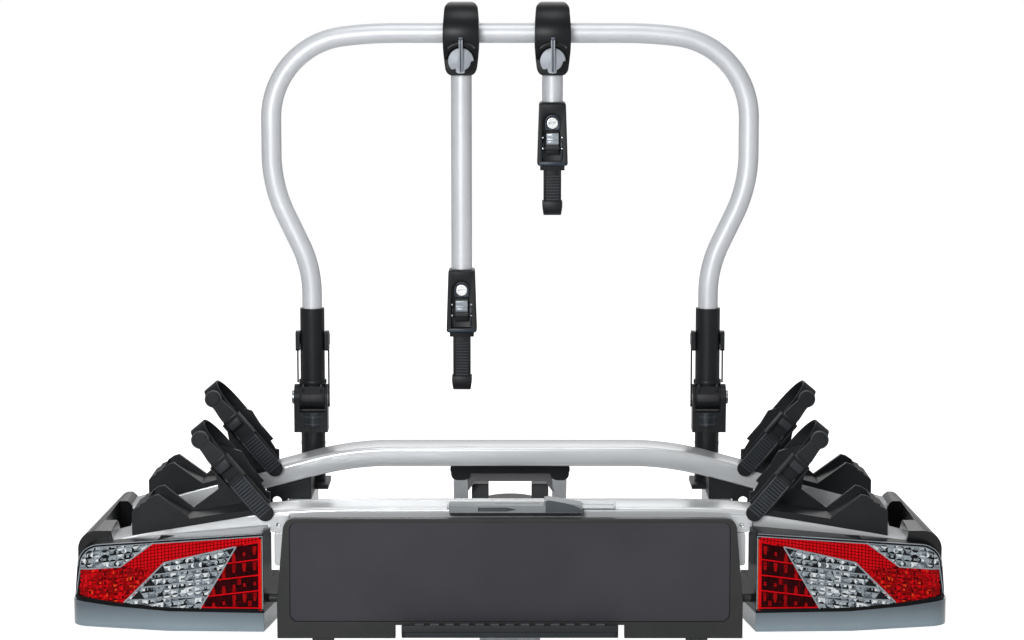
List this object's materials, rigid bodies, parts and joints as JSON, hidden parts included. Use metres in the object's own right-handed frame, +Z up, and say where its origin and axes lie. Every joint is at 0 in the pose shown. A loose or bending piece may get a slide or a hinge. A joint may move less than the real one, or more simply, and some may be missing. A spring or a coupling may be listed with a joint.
{
  "type": "towbar bike rack",
  "caption": "Fold-up bicycle rack that clamps on a tow ball, with sliding platform, wheel trays with ratchet straps, hanging frame holders, lamps and a number plate",
  "frame": {"origin": "Centre of the tow ball in the coupling's socket", "axes": "+X to the right as seen from behind the car, +Y towards the car, +Z up"},
  "size_m": [1.046, 0.476, 0.7507],
  "materials": {
    "cast_black": "black powder coat on cast steel",
    "steel_frame": "black powder coat on welded steel tube",
    "zinc_steel": "zinc plated",
    "guide_plastic": "plain slide plastic",
    "lever_metal": "satin cast aluminium",
    "black_plastic": "fine-grained black",
    "tube_aluminium": "satin anodised",
    "gloss_black": "polished black",
    "strap_rubber": "ribbed soft plastic",
    "knob_grey": "satin grey",
    "lock_chrome": "polished chrome",
    "plate_grey": "smooth dark grey",
    "frame_grey": "satin dark grey",
    "latch_grey": "satin grey",
    "lens_red": "clear red, grey and clear lens zones",
    "reflector": "metallised",
    "cover_grey": "glossy blue grey"
  },
  "bodies": {
    "base": {"coupling_housing": "cast_black", "coupling_pins": "zinc_steel", "base_frame": "steel_frame", "guide_pads": "guide_plastic"},
    "clamp_jaw": {"clamp_jaw": "zinc_steel"},
    "clamp_lever": {"lever_frame": "lever_metal", "lever_grip": "black_plastic"},
    "platform": {"front_rail": "tube_aluminium", "rear_rail": "tube_aluminium", "side_beams": "tube_aluminium", "crossmember": "steel_frame", "rail_brackets": "cast_black", "rail_fascias": "tube_aluminium", "side_covers": "gloss_black", "pivot_feet": "cast_black", "pivot_pins": "zinc_steel", "latch_guide": "latch_grey", "pedal_spring": "zinc_steel", "lamp_housings": "gloss_black", "lamp_lenses": "lens_red", "lamp_reflectors": "reflector", "lamp_covers": "cover_grey"},
    "pedal": {"pedal_tread": "black_plastic", "pedal_rocker": "zinc_steel"},
    "number_plate": {"plate_frame": "frame_grey", "plate_panel": "plate_grey"},
    "plate_latch": {"plate_latch": "latch_grey"},
    "u_bar": {"u_bar": "tube_aluminium", "bar_sleeves": "black_plastic"},
    "fold_release_left": {"fold_release_left": "black_plastic"},
    "fold_release_right": {"fold_release_right": "black_plastic"},
    "long_slider": {"long_liner": "black_plastic"},
    "long_holder": {"long_clamp": "black_plastic", "long_arm": "tube_aluminium", "long_head": "black_plastic", "long_strap": "strap_rubber"},
    "long_knob": {"long_knob": "knob_grey"},
    "long_buckle": {"long_buckle": "black_plastic"},
    "long_lock": {"long_lock": "lock_chrome"},
    "short_slider": {"short_liner": "black_plastic"},
    "short_holder": {"short_clamp": "black_plastic", "short_arm": "tube_aluminium", "short_head": "black_plastic", "short_strap": "strap_rubber"},
    "short_knob": {"short_knob": "knob_grey"},
    "short_buckle": {"short_buckle": "black_plastic"},
    "short_lock": {"short_lock": "lock_chrome"},
    "tray_front_left": {"tray_front_left": "black_plastic", "strap_front_left": "strap_rubber"},
    "strap_lever_front_left": {"strap_lever_front_left": "black_plastic"},
    "tray_front_right": {"tray_front_right": "black_plastic", "strap_front_right": "strap_rubber"},
    "strap_lever_front_right": {"strap_lever_front_right": "black_plastic"},
    "tray_rear_left": {"tray_rear_left": "black_plastic", "strap_rear_left": "strap_rubber"},
    "strap_lever_rear_left": {"strap_lever_rear_left": "black_plastic"},
    "tray_rear_right": {"tray_rear_right": "black_plastic", "strap_rear_right": "strap_rubber"},
    "strap_lever_rear_right": {"strap_lever_rear_right": "black_plastic"}
  },
  "joints": [
    {"name": "platform_slide", "type": "slide", "parent": "base", "child": "platform", "axis": [0, -1, 0], "range_m": [0, 0.24]},
    {"name": "clamp_lever", "type": "hinge", "parent": "base", "child": "clamp_lever", "pos_m": [0, -0.052, 0.03], "axis": [-1, 0, 0], "range_deg": [0, 100]},
    {"name": "jaw_slide", "type": "slide", "parent": "base", "child": "clamp_jaw", "axis": [0, 1, 0], "range_m": [0, 0.008]},
    {"name": "pedal", "type": "hinge", "parent": "platform", "child": "pedal", "pos_m": [0, -0.345, -0.03], "axis": [1, 0, 0], "range_deg": [0, 8], "stiffness_Nm_per_rad": 6, "springref_deg": -8.02},
    {"name": "plate_hinge", "type": "hinge", "parent": "platform", "child": "number_plate", "pos_m": [0, -0.4, -0.009], "axis": [1, 0, 0], "range_deg": [0, 80]},
    {"name": "plate_latch", "type": "slide", "parent": "platform", "child": "plate_latch", "axis": [1, 0, 0], "range_m": [0, 0.03]},
    {"name": "u_bar_fold", "type": "hinge", "parent": "platform", "child": "u_bar", "pos_m": [0, -0.09, 0.184], "axis": [1, 0, 0], "range_deg": [0, 90]},
    {"name": "fold_release_left", "type": "slide", "parent": "u_bar", "child": "fold_release_left", "axis": [0, 0, 1], "range_m": [0, 0.01], "stiffness_N_per_m": 300},
    {"name": "fold_release_right", "type": "slide", "parent": "u_bar", "child": "fold_release_right", "axis": [0, 0, 1], "range_m": [0, 0.01], "stiffness_N_per_m": 300},
    {"name": "long_slide", "type": "slide", "parent": "u_bar", "child": "long_slider", "axis": [1, 0, 0], "range_m": [-0.055, 0.02]},
    {"name": "long_swing", "type": "hinge", "parent": "long_slider", "child": "long_holder", "pos_m": [-0.062, -0.09, 0.652], "axis": [-1, 0, 0], "range_deg": [0, 110]},
    {"name": "long_knob", "type": "hinge", "parent": "long_holder", "child": "long_knob", "pos_m": [-0.062, -0.115, 0.618], "axis": [0, 1, 0], "continuous": true},
    {"name": "long_buckle", "type": "hinge", "parent": "long_holder", "child": "long_buckle", "pos_m": [-0.062, -0.103, 0.292], "axis": [1, 0, 0], "range_deg": [0, 35], "stiffness_Nm_per_rad": 0.2},
    {"name": "long_lock", "type": "hinge", "parent": "long_holder", "child": "long_lock", "pos_m": [-0.062, -0.097, 0.324], "axis": [0, 1, 0], "range_deg": [0, 90]},
    {"name": "short_slide", "type": "slide", "parent": "u_bar", "child": "short_slider", "axis": [1, 0, 0], "range_m": [-0.02, 0.065]},
    {"name": "short_swing", "type": "hinge", "parent": "short_slider", "child": "short_holder", "pos_m": [0.054, -0.09, 0.652], "axis": [-1, 0, 0], "range_deg": [0, 110]},
    {"name": "short_knob", "type": "hinge", "parent": "short_holder", "child": "short_knob", "pos_m": [0.054, -0.115, 0.618], "axis": [0, 1, 0], "continuous": true},
    {"name": "short_buckle", "type": "hinge", "parent": "short_holder", "child": "short_buckle", "pos_m": [0.054, -0.103, 0.506], "axis": [1, 0, 0], "range_deg": [0, 35], "stiffness_Nm_per_rad": 0.2},
    {"name": "short_lock", "type": "hinge", "parent": "short_holder", "child": "short_lock", "pos_m": [0.054, -0.097, 0.538], "axis": [0, 1, 0], "range_deg": [0, 90]},
    {"name": "tray_front_left", "type": "hinge", "parent": "platform", "child": "tray_front_left", "pos_m": [-0.185, -0.355, -1.032], "axis": [0, -1, 0], "range_deg": [-1, 0.7]},
    {"name": "strap_lever_front_left", "type": "hinge", "parent": "tray_front_left", "child": "strap_lever_front_left", "pos_m": [-0.33857, -0.402, 0.1497], "axis": [0.766, 0, 0.6428], "range_deg": [0, 60], "stiffness_Nm_per_rad": 0.05},
    {"name": "tray_front_right", "type": "hinge", "parent": "platform", "child": "tray_front_right", "pos_m": [0.185, -0.355, -1.032], "axis": [0, 1, 0], "range_deg": [-1, 0.7]},
    {"name": "strap_lever_front_right", "type": "hinge", "parent": "tray_front_right", "child": "strap_lever_front_right", "pos_m": [0.33857, -0.402, 0.1497], "axis": [0.766, 0, -0.6428], "range_deg": [0, 60], "stiffness_Nm_per_rad": 0.05},
    {"name": "tray_rear_left", "type": "slide", "parent": "platform", "child": "tray_rear_left", "axis": [-0.9659, 0, -0.2588], "range_m": [-0.02, 0.02]},
    {"name": "strap_lever_rear_left", "type": "hinge", "parent": "tray_rear_left", "child": "strap_lever_rear_left", "pos_m": [-0.34357, -0.202, 0.16632], "axis": [0.766, 0, 0.6428], "range_deg": [0, 60], "stiffness_Nm_per_rad": 0.05},
    {"name": "tray_rear_right", "type": "slide", "parent": "platform", "child": "tray_rear_right", "axis": [0.9659, 0, -0.2588], "range_m": [-0.02, 0.02]},
    {"name": "strap_lever_rear_right", "type": "hinge", "parent": "tray_rear_right", "child": "strap_lever_rear_right", "pos_m": [0.34357, -0.202, 0.16632], "axis": [0.766, 0, -0.6428], "range_deg": [0, 60], "stiffness_Nm_per_rad": 0.05}
  ],
  "couplings": [
    {"joint": "jaw_slide", "follows": "clamp_lever", "m_per_rad": 0.0045837}
  ]
}
